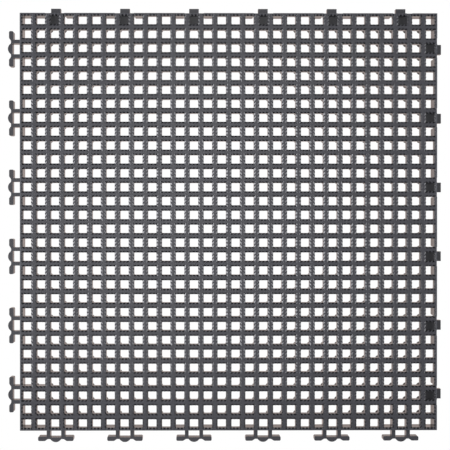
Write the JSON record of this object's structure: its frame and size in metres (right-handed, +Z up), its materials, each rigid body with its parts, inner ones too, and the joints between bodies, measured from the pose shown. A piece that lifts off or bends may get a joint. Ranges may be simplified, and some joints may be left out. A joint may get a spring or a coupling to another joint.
{
  "type": "perforated floor tile",
  "caption": "Square open-grid drainage floor tile in soft charcoal plastic, with interlocking loops on two edges and tabs on the other two.",
  "frame": {"origin": "on the floor, at the bottom of the foot under the middle crossing of the grid", "axes": "+Z up, out of the walking face; loops stand out of the -X and -Y edges, tabs out of the +X and +Y edges"},
  "size_m": [0.3138, 0.3138, 0.012],
  "materials": {
    "soft_plastic": "matte, moulded"
  },
  "bodies": {
    "root": {"back_right_quarter": "soft_plastic", "back_left_quarter": "soft_plastic", "front_left_quarter": "soft_plastic", "front_right_quarter": "soft_plastic", "right_edge_tabs": "soft_plastic", "back_edge_tabs": "soft_plastic", "left_edge_loops": "soft_plastic", "front_edge_loops": "soft_plastic"}
  },
  "joints": []
}
